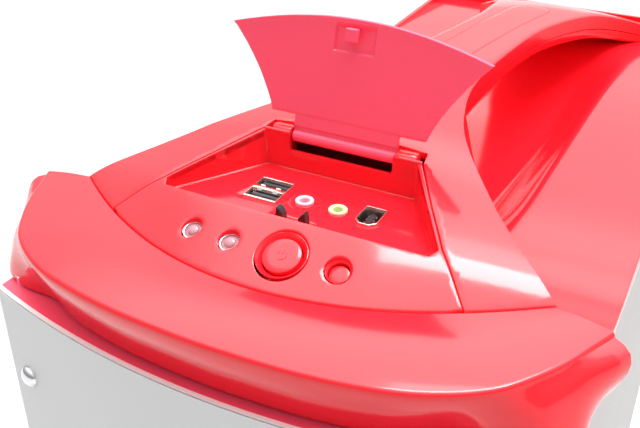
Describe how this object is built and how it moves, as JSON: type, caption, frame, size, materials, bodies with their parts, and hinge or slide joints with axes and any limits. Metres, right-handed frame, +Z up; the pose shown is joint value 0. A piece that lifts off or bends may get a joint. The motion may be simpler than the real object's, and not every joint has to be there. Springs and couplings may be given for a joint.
{
  "type": "desktop tower case",
  "caption": "Upright computer case with a glossy moulded crown, carry handle, flip-up port lid, hinged metal-faced front door and sliding side panels.",
  "frame": {"origin": "on the ground, in the middle of the case's box", "axes": "+Z up, -Y towards the front door, +X to the right seen from the front"},
  "size_m": [0.222, 0.4928, 0.546],
  "materials": {
    "red_gloss": "high gloss, moulded in colour",
    "red_inner": "moulded pink-red, unpainted",
    "plate_metal": "satin, fine grain",
    "chrome": "polished",
    "port_metal": "plated",
    "steel": "zinc plated sheet",
    "panel_paint": "silver paint, satin",
    "black_plastic": "fine texture",
    "grey_plastic": "satin",
    "jack_pink": "satin",
    "jack_green": "satin",
    "board_green": "solder mask",
    "lens_clear": "clear, moulded",
    "rubber": "matte"
  },
  "bodies": {
    "case": {"io_console": "red_gloss", "lid_hinge_pin": "chrome", "latch_housing": "black_plastic", "power_ring": "red_gloss", "reset_sleeve": "red_gloss", "button_switches": "black_plastic", "button_board": "board_green", "led_lenses": "lens_clear", "usb_shell": "port_metal", "usb_tongues": "grey_plastic", "microphone_jack": "jack_pink", "headphone_jack": "jack_green", "six_pin_shell": "port_metal", "six_pin_insulator": "black_plastic", "io_board": "board_green", "io_board_screws": "chrome", "front_bezel": "red_gloss", "door_pins": "chrome", "top_cover": "red_gloss", "handle_lower_shell": "red_gloss", "handle_pad": "red_gloss", "base_pan": "steel", "top_sheet": "steel", "rear_panel": "panel_paint", "front_sheet": "steel", "optical_bay_cage": "steel", "hard_drive_cage": "steel", "bay_covers": "black_plastic", "small_bay_cover": "black_plastic", "intake_grille": "black_plastic", "board_tray": "steel", "io_shield": "steel", "slot_covers": "steel", "rear_fan_frame": "black_plastic", "front_fan_frame": "black_plastic", "power_supply": "panel_paint", "power_inlet": "black_plastic", "supply_fan_guard": "chrome", "feet": "black_plastic", "foot_pads": "rubber", "bezel_posts": "steel"},
    "lid": {"io_lid": "red_inner", "lid_strike": "red_inner"},
    "jaw_left": {"latch_jaw_left": "black_plastic"},
    "jaw_right": {"latch_jaw_right": "black_plastic"},
    "power_key": {"power_button": "red_gloss"},
    "reset_key": {"reset_button": "red_gloss"},
    "door": {"door_frame": "red_inner", "door_plate": "plate_metal", "door_screws": "chrome"},
    "panel_left": {"side_panel_left": "panel_paint", "thumb_screws_left": "chrome"},
    "panel_right": {"side_panel_right": "panel_paint", "thumb_screws_right": "chrome"},
    "rear_rotor": {"rear_fan_rotor": "black_plastic"},
    "front_rotor": {"front_fan_rotor": "black_plastic"}
  },
  "joints": [
    {"name": "lid_hinge", "type": "hinge", "parent": "case", "child": "lid", "pos_m": [0, -0.1469, 0.502], "axis": [1, 0, 0], "range_deg": [0, 112]},
    {"name": "latch_spread", "type": "hinge", "parent": "case", "child": "jaw_right", "pos_m": [0.0038, -0.1845, 0.486], "axis": [0, 1, 0], "range_deg": [0, 8], "stiffness_Nm_per_rad": 0.004},
    {"name": "latch_spread_left", "type": "hinge", "parent": "case", "child": "jaw_left", "pos_m": [-0.005, -0.1845, 0.486], "axis": [0, 1, 0], "range_deg": [-8, 0], "stiffness_Nm_per_rad": 0.004},
    {"name": "power_press", "type": "slide", "parent": "case", "child": "power_key", "axis": [0, 0.4226, -0.9063], "range_m": [0, 0.0015], "stiffness_N_per_m": 800, "springref_m": -0.001},
    {"name": "reset_press", "type": "slide", "parent": "case", "child": "reset_key", "axis": [0, 0.4226, -0.9063], "range_m": [0, 0.0015], "stiffness_N_per_m": 800, "springref_m": -0.001},
    {"name": "door_hinge", "type": "hinge", "parent": "case", "child": "door", "pos_m": [-0.0905, -0.2224, 0.244], "axis": [0, 0, 1], "range_deg": [-100, 0]},
    {"name": "left_panel_slide", "type": "slide", "parent": "case", "child": "panel_left", "axis": [0, 1, 0], "range_m": [0, 0.018]},
    {"name": "right_panel_slide", "type": "slide", "parent": "case", "child": "panel_right", "axis": [0, 1, 0], "range_m": [0, 0.018]},
    {"name": "rear_fan_spin", "type": "hinge", "parent": "case", "child": "rear_rotor", "pos_m": [-0.034, 0.2236, 0.2528], "axis": [0, 1, 0], "continuous": true},
    {"name": "front_fan_spin", "type": "hinge", "parent": "case", "child": "front_rotor", "pos_m": [0, -0.1934, 0.091], "axis": [0, 1, 0], "continuous": true}
  ],
  "couplings": [
    {"joint": "latch_spread_left", "follows": "latch_spread", "ratio": -1}
  ]
}
